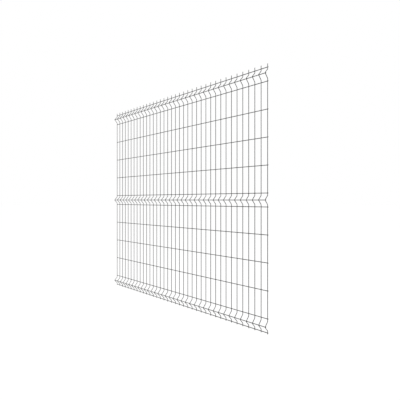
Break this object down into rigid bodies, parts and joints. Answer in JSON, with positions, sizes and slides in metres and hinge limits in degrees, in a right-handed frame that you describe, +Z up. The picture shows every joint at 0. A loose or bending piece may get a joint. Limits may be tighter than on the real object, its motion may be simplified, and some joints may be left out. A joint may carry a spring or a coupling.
{
  "type": "welded mesh fence panel",
  "caption": "Wide welded wire fence panel stiffened by three pressed V folds, with upright wires that end as short spikes along its top.",
  "frame": {"origin": "centre of the cut foot of the middle upright wire, in the plane of the uprights", "axes": "+X along the panel's width, +Z up, folds standing out towards -Y and cross wires behind, on the +Y side of the uprights"},
  "size_m": [1.986, 0.04, 1.93],
  "materials": {
    "coated_wire": "satin dark grey powder coat on galvanised steel wire"
  },
  "bodies": {
    "root": {"upright_wire_01": "coated_wire", "upright_wire_02": "coated_wire", "upright_wire_03": "coated_wire", "upright_wire_04": "coated_wire", "upright_wire_05": "coated_wire", "upright_wire_06": "coated_wire", "upright_wire_07": "coated_wire", "upright_wire_08": "coated_wire", "upright_wire_09": "coated_wire", "upright_wire_10": "coated_wire", "upright_wire_11": "coated_wire", "upright_wire_12": "coated_wire", "upright_wire_13": "coated_wire", "upright_wire_14": "coated_wire", "upright_wire_15": "coated_wire", "upright_wire_16": "coated_wire", "upright_wire_17": "coated_wire", "upright_wire_18": "coated_wire", "upright_wire_19": "coated_wire", "upright_wire_20": "coated_wire", "upright_wire_21": "coated_wire", "upright_wire_22": "coated_wire", "upright_wire_23": "coated_wire", "upright_wire_24": "coated_wire", "upright_wire_25": "coated_wire", "upright_wire_26": "coated_wire", "upright_wire_27": "coated_wire", "upright_wire_28": "coated_wire", "upright_wire_29": "coated_wire", "upright_wire_30": "coated_wire", "upright_wire_31": "coated_wire", "upright_wire_32": "coated_wire", "upright_wire_33": "coated_wire", "upright_wire_34": "coated_wire", "upright_wire_35": "coated_wire", "upright_wire_36": "coated_wire", "upright_wire_37": "coated_wire", "fold_1_lower_wire": "coated_wire", "fold_1_crest_wire": "coated_wire", "fold_1_upper_wire": "coated_wire", "fold_2_lower_wire": "coated_wire", "fold_2_crest_wire": "coated_wire", "fold_2_upper_wire": "coated_wire", "fold_3_lower_wire": "coated_wire", "fold_3_crest_wire": "coated_wire", "fold_3_upper_wire": "coated_wire", "field_1_cross_wire_1": "coated_wire", "field_1_cross_wire_2": "coated_wire", "field_1_cross_wire_3": "coated_wire", "field_2_cross_wire_1": "coated_wire", "field_2_cross_wire_2": "coated_wire", "field_2_cross_wire_3": "coated_wire"}
  },
  "joints": []
}
